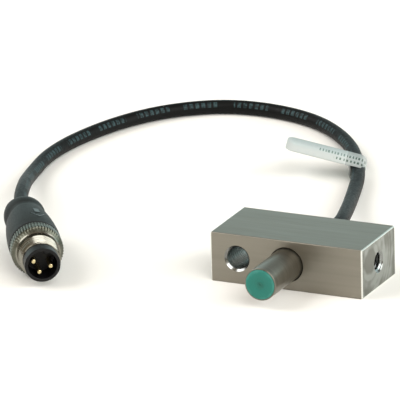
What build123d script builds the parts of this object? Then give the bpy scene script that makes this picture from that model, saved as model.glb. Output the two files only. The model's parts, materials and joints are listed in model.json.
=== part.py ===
from build123d import *

import math
import os

# Inductive proximity sensor held in a small clamp block, with a short cable and a screw-lock plug.
# Millimetres. The origin is the centre of the block's base, X runs along the block, the sensing
# face looks along -Y and Z is up.

# Clamp block, a cut length of flat bar
block_length = 32.0
block_depth = 16.0
block_height = 10.0
block_edge_break = 0.25
axis_height = 5.15
bore_clearance = 0.05
bore_chamfer = 0.25
mounting_hole_x = -10.4
mounting_hole_radius = 2.25
mounting_hole_chamfer = 0.4

# Clamp screw and its brass pad, in the tapped hole in the block's end
thread_hole_radius = 2.0
thread_hole_chamfer = 0.2
screw_radius = 1.95
screw_length = 6.0
screw_socket_flats = 2.0
screw_socket_depth = 2.5
screw_end_chamfer = 0.3
pad_radius = 1.9
pad_length = 1.6
pad_gap = 0.15
screw_gap = 0.05

# Sensor barrel; depths run back from the sensing face
barrel_radius = 3.25
barrel_inner_radius = 3.0
barrel_length = 30.0
barrel_reach = 12.5
barrel_chamfer = 0.15
face_proud = 0.12
face_radius = 2.98
face_thickness = 0.8
face_skirt_length = 4.6
face_skirt_inner_radius = 2.72

# Coil set behind the sensing face
core_depth = 0.85
core_length = 2.6
core_radius = 2.67
core_post_radius = 1.1
core_wall_inner_radius = 2.25
core_back_thickness = 0.7
bobbin_depth = 0.9
bobbin_length = 1.8
bobbin_bore_radius = 1.15
bobbin_hub_radius = 1.3
bobbin_flange_radius = 2.2
bobbin_flange_thickness = 0.2
coil_radius = 2.1
coil_gap = 0.02

# Electronics on one board
board_depth = 3.6
board_length = 23.0
board_width = 4.6
board_thickness = 0.5
chip_size = (3.0, 4.0, 0.9)
chip_depth = 8.0
transistor_size = (1.4, 2.9, 1.0)
transistor_depth = 15.0
component_size = (0.6, 1.1, 0.5)
component_depths = (13.4, 15.2, 17.0, 18.8)
component_side = 1.3
led_size = (0.8, 1.6, 0.6)
led_depth = 22.4
led_side = -1.75

# Rear end of the sensor
resin_depth = 20.5
resin_length = 6.5
resin_radius = 2.93
resin_gap = 0.02
end_plug_depth = 27.1
end_plug_radius = 2.98
end_plug_hole_radius = 1.8
grommet_radius = 1.75
grommet_bore_radius = 1.45
grommet_length = 4.1

# Cable and its three wires
cable_radius = 1.4
cable_start_depth = 28.1
cable_lead = 5.0
wire_radius = 0.4
wire_start_depth = 23.5
wire_side = 0.55
wire_lift = 0.7
wire_circle_radius = 0.9
wire_straight = 0.8
wire_bend_radius = 3.0

# Plug; depths run back from the rim of its insert
plug_front = Vector(-44.4, -24.0, 4.82)
plug_heading = 33.0
plug_dip = 3.0
plug_roll = -19.0
insert_lip_radius = 3.5
insert_lip_length = 2.55
insert_neck_radius = 3.14
insert_length = 14.0
insert_recess_radius = 2.85
insert_recess_depth = 4.4
insert_key_width = 0.8
insert_key_height = 0.45
pin_radius = 0.5
pin_circle_radius = 1.79
pin_tip_depth = 0.6
pin_tip_round = 0.25
pin_end_depth = 15.5
pin_cup_radius = 0.42
pin_cup_depth = 1.2
nut_front_depth = 2.65
nut_thread_radius = 4.0
nut_thread_length = 3.75
nut_rear_depth = 9.9
nut_radius = 5.15
nut_bore_radius = 3.2
nut_chamfer = 0.3
grip_front_depth = 10.0
grip_rear_depth = 28.3
grip_collar_radius = 5.15
grip_pocket_radius = 3.16
grip_bore_radius = 1.45
grip_boot_radius = 2.3
grip_boot_tip_radius = 1.65
grip_boot_length = 2.2
grip_collar_end_depth = 12.5
grip_taper_depth = 17.5
grip_taper_radius = 4.8
grip_waist_depth = 23.3
grip_waist_radius = 3.8
waist_half_width = 0.9
waist_front_rise = 0.28
waist_rear_rise = 0.1
grip_bulb_depth = 26.6
grip_bulb_radius = 3.95
grip_rear_radius = 3.2
mould_radius = 2.6
mould_gap = 0.02
jacket_end_depth = 24.3

# Marker sleeve on the cable, with its flag
label_width = 8.2
label_bore_radius = 1.52
label_thickness = 0.15
label_flag_length = 14.5
label_flag_thickness = 0.3
label_flag_lift = 18.5
label_corner_radius = 1.5
label_place = 0.277

tolerance = 0.01

face_y = -block_depth / 2 - barrel_reach
plug_right = Vector(1, 0, 0).rotate(Axis.Z, plug_heading)
plug_axis = Vector(0, -1, 0).rotate(Axis.X, plug_dip).rotate(Axis.Z, plug_heading)
grip_rear = plug_front - plug_axis * grip_rear_depth

# The cable's route, end to end: out of the sensor, down, round in one loop, up into the plug
cable_route = [
    Vector(0, face_y + cable_start_depth, axis_height),
    Vector(0, 17.5, axis_height),
    Vector(-3.5, 29.0, 3.7),
    Vector(-8.4, 43.4, 1.9),
    Vector(-13.3, 58.4, 1.75),
    Vector(-23.1, 75.6, 1.5),
    Vector(-36.6, 86.9, 1.5),
    Vector(-54.0, 89.0, 1.5),
    Vector(-66.5, 80.2, 1.5),
    Vector(-73.5, 66.0, 1.5),
    Vector(-76.7, 48.6, 1.5),
    Vector(-73.6, 31.6, 1.9),
    Vector(-67.8, 16.9, 5.4),
    grip_rear - plug_axis * cable_lead,
    plug_front - plug_axis * jacket_end_depth,
]
arc_share = 0.45


def across_barrel(depth):
    """Plane across the barrel, with X along the block and Y up."""
    return Plane(origin=(0, face_y + depth, axis_height), x_dir=(1, 0, 0), z_dir=(0, -1, 0))


def across_plug(depth):
    """Plane across the plug, with its own X level and Y up."""
    return Plane(origin=plug_front - plug_axis * depth, x_dir=plug_right, z_dir=plug_axis)


def across_screw(x):
    """Plane across the clamp screw's axis."""
    return Plane(origin=(x, 0, axis_height), x_dir=(0, 1, 0), z_dir=(1, 0, 0))


def corner_radii(route):
    """One radius for each corner, as large as its two runs allow."""
    radii = []
    for before, corner, after in zip(route, route[1:], route[2:]):
        turn = math.radians((corner - before).get_angle(after - corner))
        shorter = min((corner - before).length, (after - corner).length)
        radii.append(arc_share * shorter / math.tan(turn / 2))
    return radii


def save(piece, name):
    piece.part.label = name
    export_step(piece.part, f"parts/{name}.step")


os.makedirs("parts", exist_ok=True)

# Clamp block

block_front = Plane(origin=(0, -block_depth / 2, axis_height), x_dir=(1, 0, 0), z_dir=(0, -1, 0))
bore_radius = barrel_radius + bore_clearance

with BuildPart() as mounting_block:
    with BuildSketch(Plane.XY):
        Rectangle(block_length, block_depth)
    extrude(amount=block_height)
    chamfer(mounting_block.edges(), length=block_edge_break)
    with BuildSketch(block_front):
        Circle(bore_radius)
        with Locations((mounting_hole_x, 0)):
            Circle(mounting_hole_radius)
    extrude(amount=-block_depth, mode=Mode.SUBTRACT)
    rims = mounting_block.edges().filter_by(GeomType.CIRCLE)
    bore_rims = rims.filter_by(lambda rim: abs(rim.radius - bore_radius) < tolerance)
    chamfer(bore_rims, length=bore_chamfer)
    hole_rims = rims.filter_by(lambda rim: abs(rim.radius - mounting_hole_radius) < tolerance)
    chamfer(hole_rims, length=mounting_hole_chamfer)
    with BuildSketch(across_screw(block_length / 2)):
        Circle(thread_hole_radius)
    extrude(amount=-block_length / 2, mode=Mode.SUBTRACT)
    end_face = mounting_block.faces().sort_by(Axis.X)[-1]
    chamfer(end_face.edges().filter_by(GeomType.CIRCLE), length=thread_hole_chamfer)
save(mounting_block, "mounting_block")

# Clamp screw: a hexagon socket set screw pushing a brass pad against the barrel

pad_x = barrel_radius + pad_gap
screw_x = pad_x + pad_length + screw_gap

with BuildPart() as clamp_pad:
    with BuildSketch(across_screw(pad_x)):
        Circle(pad_radius)
    extrude(amount=pad_length)
save(clamp_pad, "clamp_pad")

with BuildPart() as clamp_screw:
    with BuildSketch(across_screw(screw_x)):
        Circle(screw_radius)
    extrude(amount=screw_length)
    chamfer(clamp_screw.edges().filter_by(GeomType.CIRCLE), length=screw_end_chamfer)
    with BuildSketch(across_screw(screw_x + screw_length)):
        RegularPolygon(radius=screw_socket_flats / 2, side_count=6, major_radius=False)
    extrude(amount=-screw_socket_depth, mode=Mode.SUBTRACT)
save(clamp_screw, "clamp_screw")

# Sensor housing

with BuildPart() as sensor_barrel:
    with BuildSketch(across_barrel(face_proud)):
        Circle(barrel_radius)
        Circle(barrel_inner_radius, mode=Mode.SUBTRACT)
    extrude(amount=-(barrel_length - face_proud))
    rims = sensor_barrel.edges().filter_by(GeomType.CIRCLE)
    chamfer(rims.filter_by(lambda rim: rim.radius > barrel_radius - tolerance), length=barrel_chamfer)
save(sensor_barrel, "sensor_barrel")

with BuildPart() as sensing_face:
    with BuildSketch(across_barrel(0)):
        Circle(face_radius)
    extrude(amount=-face_skirt_length)
    fillet(sensing_face.edges().sort_by(Axis.Y)[0], radius=face_proud)
    with BuildSketch(across_barrel(face_thickness)):
        Circle(face_skirt_inner_radius)
    extrude(amount=-face_skirt_length, mode=Mode.SUBTRACT)
save(sensing_face, "sensing_face")

# Coil set

with BuildPart() as ferrite_core:
    with BuildSketch(across_barrel(core_depth)):
        Circle(core_radius)
    extrude(amount=-core_length)
    with BuildSketch(across_barrel(core_depth)):
        Circle(core_wall_inner_radius)
        Circle(core_post_radius, mode=Mode.SUBTRACT)
    extrude(amount=-(core_length - core_back_thickness), mode=Mode.SUBTRACT)
save(ferrite_core, "ferrite_core")

with BuildPart() as coil_bobbin:
    with BuildSketch(across_barrel(bobbin_depth)):
        Circle(bobbin_hub_radius)
        Circle(bobbin_bore_radius, mode=Mode.SUBTRACT)
    extrude(amount=-bobbin_length)
    for flange_depth in (bobbin_depth, bobbin_depth + bobbin_length - bobbin_flange_thickness):
        with BuildSketch(across_barrel(flange_depth)):
            Circle(bobbin_flange_radius)
            Circle(bobbin_bore_radius, mode=Mode.SUBTRACT)
        extrude(amount=-bobbin_flange_thickness)
save(coil_bobbin, "coil_bobbin")

coil_length = bobbin_length - 2 * (bobbin_flange_thickness + coil_gap)
with BuildPart() as copper_coil:
    with BuildSketch(across_barrel(bobbin_depth + bobbin_flange_thickness + coil_gap)):
        Circle(coil_radius)
        Circle(bobbin_hub_radius + coil_gap, mode=Mode.SUBTRACT)
    extrude(amount=-coil_length)
save(copper_coil, "copper_coil")

# Electronics: the board lies level across the barrel, parts stand on its two sides


def on_board(size, depth, side, above=True):
    """Size and centre of a component whose front edge is at this depth."""
    width, length, height = size
    lift = board_thickness / 2 + height / 2
    if not above:
        lift = -lift
    return (width, length, height), (side, face_y + depth + length / 2, axis_height + lift)


with BuildPart() as circuit_board:
    with Locations((0, face_y + board_depth + board_length / 2, axis_height)):
        Box(board_width, board_length, board_thickness)
save(circuit_board, "circuit_board")

chip_box, chip_place = on_board(chip_size, chip_depth, 0)
with BuildPart() as oscillator_chip:
    with Locations(chip_place):
        Box(*chip_box)
save(oscillator_chip, "oscillator_chip")

transistor_box, transistor_place = on_board(transistor_size, transistor_depth, 0, above=False)
with BuildPart() as output_transistor:
    with Locations(transistor_place):
        Box(*transistor_box)
save(output_transistor, "output_transistor")

with BuildPart() as board_components:
    for depth in component_depths:
        for side in (-component_side, component_side):
            component_box, component_place = on_board(component_size, depth, side)
            with Locations(component_place):
                Box(*component_box)
save(board_components, "board_components")

led_box, led_place = on_board(led_size, led_depth, led_side)
with BuildPart() as status_led:
    with Locations(led_place):
        Box(*led_box)
save(status_led, "status_led")

# Wires from the cable's end to the board

wire_places = {
    "brown_wire": (-wire_side, wire_lift),
    "blue_wire": (wire_side, wire_lift),
    "black_wire": (0, -wire_lift),
}
for name, place in wire_places.items():
    with BuildPart() as sensor_wire:
        with BuildSketch(across_barrel(wire_start_depth)):
            with Locations(place):
                Circle(wire_radius)
        extrude(amount=-(cable_start_depth - wire_start_depth))
    save(sensor_wire, name)

# Potting resin round the wires' end of the board

with BuildPart() as potting_resin:
    with BuildSketch(across_barrel(resin_depth)):
        Circle(resin_radius)
    extrude(amount=-resin_length)
    with BuildSketch(across_barrel(resin_depth)):
        Rectangle(board_width + 2 * resin_gap, board_thickness + 2 * resin_gap)
    extrude(amount=-(board_depth + board_length - resin_depth + resin_gap), mode=Mode.SUBTRACT)
    with Locations(led_place):
        Box(*(size + 2 * resin_gap for size in led_box), mode=Mode.SUBTRACT)
    with BuildSketch(across_barrel(wire_start_depth - resin_gap)):
        with Locations(*wire_places.values()):
            Circle(wire_radius + resin_gap)
    extrude(amount=-resin_length, mode=Mode.SUBTRACT)
save(potting_resin, "potting_resin")

# Rear plug and cable grommet

with BuildPart() as end_plug:
    with BuildSketch(across_barrel(end_plug_depth)):
        Circle(end_plug_radius)
        Circle(end_plug_hole_radius, mode=Mode.SUBTRACT)
    extrude(amount=-(barrel_length - end_plug_depth))
save(end_plug, "end_plug")

with BuildPart() as cable_grommet:
    with BuildSketch(across_barrel(end_plug_depth)):
        Circle(grommet_radius)
        Circle(grommet_bore_radius, mode=Mode.SUBTRACT)
    extrude(amount=-grommet_length)
save(cable_grommet, "cable_grommet")

# Cable: straight runs joined by tangent arcs

radii = corner_radii(cable_route)
print("cable arc radii", [round(radius, 1) for radius in radii])
with BuildLine() as cable_path:
    FilletPolyline(*cable_route, radius=radii)
with BuildPart() as cable_jacket:
    with BuildSketch(Plane(origin=cable_route[0], x_dir=(1, 0, 0), z_dir=(0, 1, 0))):
        Circle(cable_radius)
    sweep(path=cable_path.wire())
save(cable_jacket, "cable_jacket")
cable_length = cable_path.wire().length
print("cable length", round(cable_length, 1))
print("cable volume", round(cable_jacket.part.volume, 1), "section x length", end=" ")
print(round(math.pi * cable_radius**2 * cable_length, 1))

# Marker sleeve round the cable, its two ends joined as a flag

label_along = cable_path.wire().tangent_at(label_place)
label_centre = cable_path.wire().position_at(label_place) - label_along * (label_width / 2)
label_side = Vector(-label_along.Y, label_along.X, 0)
label_outer_radius = label_bore_radius + label_thickness
with BuildPart() as cable_label:
    with BuildSketch(Plane(origin=label_centre, x_dir=label_side, z_dir=label_along)):
        Circle(label_outer_radius)
        with Locations(Location((0, 0), label_flag_lift)):
            with Locations((label_flag_length / 2, 0)):
                Rectangle(label_flag_length, label_flag_thickness)
        Circle(label_bore_radius, mode=Mode.SUBTRACT)
    extrude(amount=label_width)
    short_edges = cable_label.edges().filter_by(lambda edge: edge.length < label_flag_thickness + tolerance)
    reach = label_flag_length / 2
    flag_corners = short_edges.filter_by(lambda edge: (edge @ 0.5 - label_centre).length > reach)
    fillet(flag_corners, radius=label_corner_radius)
save(cable_label, "cable_label")

# Plug: insert with its contacts, which sit a quarter turn apart: 1 and 3 at the sides, 4 below


def on_circle(radius, angle):
    """Place on a circle round the plug's axis, turned by the plug's roll."""
    turned = math.radians(angle + plug_roll)
    return (radius * math.cos(turned), radius * math.sin(turned))


pin_angles = {"contact_pin_1": 0, "contact_pin_3": 180, "contact_pin_4": 270}
pin_places = {name: on_circle(pin_circle_radius, angle) for name, angle in pin_angles.items()}

with BuildPart() as contact_carrier:
    with BuildSketch(across_plug(0)):
        Circle(insert_lip_radius)
    extrude(amount=-insert_lip_length)
    with BuildSketch(across_plug(insert_lip_length)):
        Circle(insert_neck_radius)
    extrude(amount=-(insert_length - insert_lip_length))
    with BuildSketch(across_plug(0)):
        Circle(insert_recess_radius)
        with Locations(on_circle(insert_recess_radius, 90)):
            Rectangle(insert_key_width, 2 * insert_key_height, rotation=plug_roll, mode=Mode.SUBTRACT)
    extrude(amount=-insert_recess_depth, mode=Mode.SUBTRACT)
    with BuildSketch(across_plug(0)):
        with Locations(*pin_places.values()):
            Circle(pin_radius)
    extrude(amount=-insert_length, mode=Mode.SUBTRACT)
save(contact_carrier, "contact_carrier")

for name, place in pin_places.items():
    with BuildPart() as contact_pin:
        with BuildSketch(across_plug(pin_tip_depth)):
            with Locations(place):
                Circle(pin_radius)
        extrude(amount=-(pin_end_depth - pin_tip_depth))
        tip = contact_pin.faces().sort_by(Axis(plug_front, plug_axis))[-1]
        fillet(tip.edges(), radius=pin_tip_round)
        with BuildSketch(across_plug(pin_end_depth)):
            with Locations(place):
                Circle(pin_cup_radius)
        extrude(amount=pin_cup_depth, mode=Mode.SUBTRACT)
    save(contact_pin, name)

# Wires from the contacts' cups to the cable's end

plug_wires = {
    "plug_brown_wire": "contact_pin_1",
    "plug_blue_wire": "contact_pin_3",
    "plug_black_wire": "contact_pin_4",
}
wire_paths = {}
for name, pin in plug_wires.items():
    at_pin = pin_places[pin]
    at_cable = on_circle(wire_circle_radius, pin_angles[pin])
    stops = [
        across_plug(pin_end_depth - pin_cup_depth).from_local_coords((*at_pin, 0)),
        across_plug(pin_end_depth + wire_straight).from_local_coords((*at_pin, 0)),
        across_plug(jacket_end_depth - wire_straight).from_local_coords((*at_cable, 0)),
        across_plug(jacket_end_depth).from_local_coords((*at_cable, 0)),
    ]
    with BuildLine() as wire_path:
        FilletPolyline(*stops, radius=wire_bend_radius)
    wire_paths[name] = (stops[0], wire_path.wire())
    with BuildPart() as plug_wire:
        with BuildSketch(Plane(origin=stops[0], x_dir=plug_right, z_dir=-plug_axis)):
            Circle(wire_radius)
        sweep(path=wire_path.wire())
    save(plug_wire, name)

# Inner moulding that holds the contacts' tails and the wires

with BuildPart() as inner_mould:
    with BuildSketch(across_plug(insert_length + mould_gap)):
        Circle(mould_radius)
    extrude(amount=-(jacket_end_depth - insert_length - 2 * mould_gap))
    with BuildSketch(across_plug(insert_length)):
        with Locations(*pin_places.values()):
            Circle(pin_radius + mould_gap)
    extrude(amount=-(pin_end_depth + mould_gap - insert_length), mode=Mode.SUBTRACT)
    for start, path in wire_paths.values():
        with BuildSketch(Plane(origin=start, x_dir=plug_right, z_dir=-plug_axis)):
            Circle(wire_radius + mould_gap)
        sweep(path=path, mode=Mode.SUBTRACT)
save(inner_mould, "inner_mould")

# Grip: a round moulding with a collar, a waist, a bulb and a short boot round the cable

along_grip = Plane(origin=plug_front, x_dir=-plug_axis, z_dir=plug_right)
plug_centre_line = Axis(tuple(plug_front), tuple(plug_axis))
boot_end_depth = grip_rear_depth + grip_boot_length

with BuildPart() as connector_grip:
    with BuildSketch(along_grip):
        with BuildLine():
            Polyline(
                (boot_end_depth, 0),
                (grip_front_depth, 0),
                (grip_front_depth, grip_collar_radius - nut_chamfer),
                (grip_front_depth + nut_chamfer, grip_collar_radius),
                (grip_collar_end_depth, grip_collar_radius),
            )
            ThreePointArc(
                (grip_collar_end_depth, grip_collar_radius),
                (grip_taper_depth, grip_taper_radius),
                (grip_waist_depth - waist_half_width, grip_waist_radius + waist_front_rise),
            )
            ThreePointArc(
                (grip_waist_depth - waist_half_width, grip_waist_radius + waist_front_rise),
                (grip_waist_depth, grip_waist_radius),
                (grip_waist_depth + waist_half_width, grip_waist_radius + waist_rear_rise),
            )
            ThreePointArc(
                (grip_waist_depth + waist_half_width, grip_waist_radius + waist_rear_rise),
                (grip_bulb_depth, grip_bulb_radius),
                (grip_rear_depth, grip_rear_radius),
            )
            Polyline(
                (grip_rear_depth, grip_rear_radius),
                (grip_rear_depth, grip_boot_radius),
                (boot_end_depth, grip_boot_tip_radius),
                (boot_end_depth, 0),
            )
        make_face()
    revolve(axis=plug_centre_line)
    with BuildSketch(across_plug(0)):
        Circle(grip_pocket_radius)
    extrude(amount=-(insert_length + mould_gap), mode=Mode.SUBTRACT)
    with BuildSketch(across_plug(insert_length)):
        Circle(mould_radius + mould_gap)
    extrude(amount=-(jacket_end_depth - insert_length), mode=Mode.SUBTRACT)
    with BuildSketch(across_plug(jacket_end_depth)):
        Circle(grip_bore_radius)
    extrude(amount=-(boot_end_depth - jacket_end_depth), mode=Mode.SUBTRACT)
save(connector_grip, "connector_grip")

# Coupling nut, free to turn between the insert's lip and the grip

with BuildPart() as coupling_nut:
    with BuildSketch(across_plug(nut_front_depth)):
        Circle(nut_thread_radius)
    extrude(amount=-nut_thread_length)
    with BuildSketch(across_plug(nut_front_depth + nut_thread_length)):
        Circle(nut_radius)
    extrude(amount=-(nut_rear_depth - nut_front_depth - nut_thread_length))
    outer_rims = coupling_nut.edges().filter_by(GeomType.CIRCLE)
    chamfer(outer_rims.filter_by(lambda rim: rim.radius > nut_radius - tolerance), length=nut_chamfer)
    with BuildSketch(across_plug(nut_front_depth)):
        Circle(nut_bore_radius)
    extrude(amount=-(nut_rear_depth - nut_front_depth), mode=Mode.SUBTRACT)
save(coupling_nut, "coupling_nut")
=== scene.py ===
import json
import math

import bmesh
import bpy
from mathutils import Matrix, Vector


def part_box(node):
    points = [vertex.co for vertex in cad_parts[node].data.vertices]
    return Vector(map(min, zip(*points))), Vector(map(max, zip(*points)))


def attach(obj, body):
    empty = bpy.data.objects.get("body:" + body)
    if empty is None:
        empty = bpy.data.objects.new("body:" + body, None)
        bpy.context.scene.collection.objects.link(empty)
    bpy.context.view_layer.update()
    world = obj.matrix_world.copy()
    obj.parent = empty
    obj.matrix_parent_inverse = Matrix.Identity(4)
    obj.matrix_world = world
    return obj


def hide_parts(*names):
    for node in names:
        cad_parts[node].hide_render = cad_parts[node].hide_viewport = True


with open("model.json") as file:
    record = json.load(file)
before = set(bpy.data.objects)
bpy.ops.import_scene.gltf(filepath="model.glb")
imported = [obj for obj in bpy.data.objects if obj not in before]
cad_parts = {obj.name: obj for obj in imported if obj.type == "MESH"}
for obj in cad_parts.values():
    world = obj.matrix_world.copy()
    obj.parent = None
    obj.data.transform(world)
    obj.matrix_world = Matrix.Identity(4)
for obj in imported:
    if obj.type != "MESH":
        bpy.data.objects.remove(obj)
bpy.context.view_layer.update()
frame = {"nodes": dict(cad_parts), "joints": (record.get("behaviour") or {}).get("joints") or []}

mm = 0.001
scene = bpy.context.scene
nodes = frame["nodes"]
joints = {joint["name"]: joint for joint in frame["joints"]}

# Places that the frame gives
faceLow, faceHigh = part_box("sensing_face")
blockLow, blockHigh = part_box("mounting_block")
axisHeight = (faceLow.z + faceHigh.z) / 2
nutSpin = joints["coupling_nut_spin"]
plugAxis = Vector(nutSpin["axis"]).normalized()
ringJointDepth = 6  # mm that the ring's joint stands behind the insert's rim
plugFront = Vector(nutSpin["pos_m"]) + plugAxis * ringJointDepth * mm
plugRight = Vector((0, 0, 1)).cross(plugAxis).normalized()


def placeOn(origin, axis, right):
    # Z runs out along the axis, X to the right and Y up
    place = Matrix((right, axis.cross(right), axis)).transposed().to_4x4()
    place.translation = origin
    return place


onBarrel = placeOn(Vector((0, faceLow.y, axisHeight)), Vector((0, -1, 0)), Vector((1, 0, 0)))
onPlug = placeOn(plugFront, plugAxis, plugRight)

# Camera

cameraValues = {
    "azimuth": 24.76,  # degrees round the object, 0 looks along +Y
    "elevation": 18.74,
    "roll": -1.33,
    "distance": 2.0,
    "target": (-0.02167, 0, 0.01323),
    "lens": 926.8,
}


def makeCamera(values):
    azimuth, elevation, roll = (math.radians(values[key]) for key in ("azimuth", "elevation", "roll"))
    back = Vector((math.sin(azimuth), -math.cos(azimuth), 0)) * math.cos(elevation)
    back.z = math.sin(elevation)
    level = Vector((math.cos(azimuth), math.sin(azimuth), 0))
    up = back.cross(level)
    right = level * math.cos(roll) + up * math.sin(roll)
    camera = bpy.data.objects.new("camera", bpy.data.cameras.new("camera"))
    camera.matrix_world = placeOn(Vector(values["target"]) + back * values["distance"], back, right)
    camera.data.lens = values["lens"]
    camera.data.clip_start = 0.1
    camera.data.clip_end = 30
    scene.collection.objects.link(camera)
    scene.camera = camera


makeCamera(cameraValues)
print("camera placed")

# Materials: one function adds a node, another starts a material


def toLinear(hexColour):
    channels = [int(hexColour[start:start + 2], 16) / 255 for start in (1, 3, 5)]
    return (*[c / 12.92 if c <= 0.04045 else ((c + 0.055) / 1.055) ** 2.4 for c in channels], 1)


def newMaterial(name, colour, roughness, sockets=None):
    material = bpy.data.materials.new(name)
    material.use_nodes = True
    shader = material.node_tree.nodes["Principled BSDF"]
    shader.inputs["Base Color"].default_value = toLinear(colour)
    shader.inputs["Roughness"].default_value = roughness
    for socket, value in (sockets or {}).items():
        shader.inputs[socket].default_value = value
    return material


def addNode(material, kind, inputs=None, stops=None, **settings):
    tree = material.node_tree
    node = tree.nodes.new("ShaderNode" + kind)
    for setting, value in settings.items():
        setattr(node, setting, value)
    for socket, value in (inputs or {}).items():
        if isinstance(value, bpy.types.NodeSocket):
            tree.links.new(value, node.inputs[socket])
        else:
            node.inputs[socket].default_value = value
    for index, (position, colour) in enumerate(stops or []):
        element = node.color_ramp.elements[index] if index < 2 else node.color_ramp.elements.new(position)
        element.position = position
        element.color = toLinear(colour) if isinstance(colour, str) else (colour, colour, colour, 1)
    return node


def addMath(material, operation, *inputs):
    return addNode(material, "Math", dict(enumerate(inputs)), operation=operation).outputs[0]


def toShader(material, **sockets):
    shader = material.node_tree.nodes["Principled BSDF"]
    for name, socket in sockets.items():
        material.node_tree.links.new(socket, shader.inputs[name.replace("_", " ")])


def addGrain(material, size, depth, colours=None, roughness=None, stretch=(1, 1, 1)):
    # size and depth in mm: a fine grain that runs long where stretch is large, and cloudy patches of colour
    place = addNode(material, "TexCoord").outputs["Object"]
    if stretch != (1, 1, 1):
        place = addNode(material, "Mapping", {"Vector": place, "Scale": [1 / s for s in stretch]}).outputs[0]
    grain = addNode(material, "TexNoise", {"Vector": place, "Scale": 1 / (size * mm), "Detail": 3}).outputs[0]
    bump = addNode(material, "Bump", {"Height": grain, "Distance": depth * mm, "Strength": 1.0})
    toShader(material, Normal=bump.outputs[0])
    if colours:
        patchScale = 1 / (8 * size * mm)
        patch = addNode(material, "TexNoise", {"Vector": place, "Scale": patchScale, "Detail": 4}).outputs[0]
        ramp = addNode(material, "ValToRGB", {0: patch}, [(0.32, colours[0]), (0.68, colours[1])])
        toShader(material, Base_Color=ramp.outputs[0])
    if roughness:
        spread = addNode(material, "MapRange", {0: grain, 1: 0.3, 2: 0.7, 3: roughness[0], 4: roughness[1]})
        toShader(material, Roughness=spread.outputs[0])
    return grain


# Shapes: a profile of (depth, radius) in mm turned round the local Z axis


def arcThrough(start, middle, end, count=8):
    # points on the arc through three points, without its start
    (ax, ay), (bx, by), (cx, cy) = start, middle, end
    d = 2 * (ax * (by - cy) + bx * (cy - ay) + cx * (ay - by))
    ox = ((ax**2 + ay**2) * (by - cy) + (bx**2 + by**2) * (cy - ay) + (cx**2 + cy**2) * (ay - by)) / d
    oy = ((ax**2 + ay**2) * (cx - bx) + (bx**2 + by**2) * (ax - cx) + (cx**2 + cy**2) * (bx - ax)) / d
    radius = math.hypot(ax - ox, ay - oy)
    first = math.atan2(ay - oy, ax - ox)
    sweep = (math.atan2(cy - oy, cx - ox) - first + math.pi) % (2 * math.pi) - math.pi
    angles = [first + sweep * step / count for step in range(1, count + 1)]
    return [(ox + radius * math.cos(angle), oy + radius * math.sin(angle)) for angle in angles]


def spinProfile(profile, steps=64, closed=False):
    bm = bmesh.new()
    verts = [bm.verts.new((radius * mm, 0, -depth * mm)) for depth, radius in profile]
    edges = [bm.edges.new(pair) for pair in zip(verts, verts[1:])]
    if closed:
        edges.append(bm.edges.new((verts[-1], verts[0])))
    bmesh.ops.spin(bm, geom=verts + edges, cent=(0, 0, 0), axis=(0, 0, 1), angle=2 * math.pi, steps=steps,
                   use_merge=True)
    bmesh.ops.remove_doubles(bm, verts=bm.verts, dist=1e-7)
    bmesh.ops.recalc_face_normals(bm, faces=bm.faces)
    return bm


def softenEdges(bm, width, segments=2, sharpest=30):
    limit = math.radians(sharpest)
    edges = [edge for edge in bm.edges if edge.is_manifold and edge.calc_face_angle() > limit]
    bmesh.ops.bevel(bm, geom=edges, offset=width * mm, affect="EDGES", segments=segments, profile=0.5,
                    material=-1, clamp_overlap=True)


def rimAt(bm, depth):
    return [edge for edge in bm.edges if edge.is_boundary
            and all(abs(vert.co.z + depth * mm) < 1e-7 for vert in edge.verts)]


def growRim(bm, rim, move):
    # extrudes a rim and moves each new point, then gives the new rim back
    made = bmesh.ops.extrude_edge_only(bm, edges=rim)["geom"]
    for vert in [item for item in made if isinstance(item, bmesh.types.BMVert)]:
        vert.co = move(vert.co)
    return [item for item in made if isinstance(item, bmesh.types.BMEdge) and item.is_boundary]


def toRadius(radius, drop=0):
    # a point's place at another radius, and further back by drop
    def move(co):
        flat = Vector((co.x, co.y, 0)).normalized() * radius * mm
        return Vector((flat.x, flat.y, co.z - drop * mm))
    return move


def spinThread(root, crest, pitch, front, rear, steps=72, lead=1.0):
    # one zigzag of teeth turned once while it moves on by one pitch, then cut square at both ends
    bm = bmesh.new()
    shape = [(0, root), (0.22, root), (0.55, crest), (0.67, crest)]  # share of the pitch, radius
    turns = math.ceil((rear - front) / pitch) + 2
    stations = [(rear + pitch - (turn + share) * pitch, radius)
                for turn in range(turns + 1) for share, radius in shape]
    verts = [bm.verts.new((radius * mm, 0, -depth * mm)) for depth, radius in stations]
    edges = [bm.edges.new(pair) for pair in zip(verts, verts[1:])]
    bmesh.ops.spin(bm, geom=verts + edges, cent=(0, 0, 0), axis=(0, 0, 1), dvec=(0, 0, pitch * mm / steps),
                   angle=2 * math.pi, steps=steps, use_merge=False)
    bmesh.ops.remove_doubles(bm, verts=bm.verts, dist=1e-6)
    for depth, outer, inner in ((front, True, False), (rear, False, True)):
        bmesh.ops.bisect_plane(bm, geom=bm.verts[:] + bm.edges[:] + bm.faces[:], dist=1e-8,
                               plane_co=(0, 0, -depth * mm), plane_no=(0, 0, 1),
                               clear_outer=outer, clear_inner=inner)
    for vert in bm.verts:  # the teeth fade in from both ends, as a chamfered thread does
        depth = -vert.co.z / mm
        radius = math.hypot(vert.co.x, vert.co.y) / mm
        height = min(abs(radius - root), lead * max(0, min(depth - front, rear - depth)))
        wanted = root + math.copysign(height, crest - root)
        vert.co.x *= wanted / radius
        vert.co.y *= wanted / radius
    return bm


def joinInto(bm, other):
    # adds a second bmesh to the first
    mesh = bpy.data.meshes.new("part")
    other.to_mesh(mesh)
    other.free()
    bm.from_mesh(mesh)
    bpy.data.meshes.remove(mesh)


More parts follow.
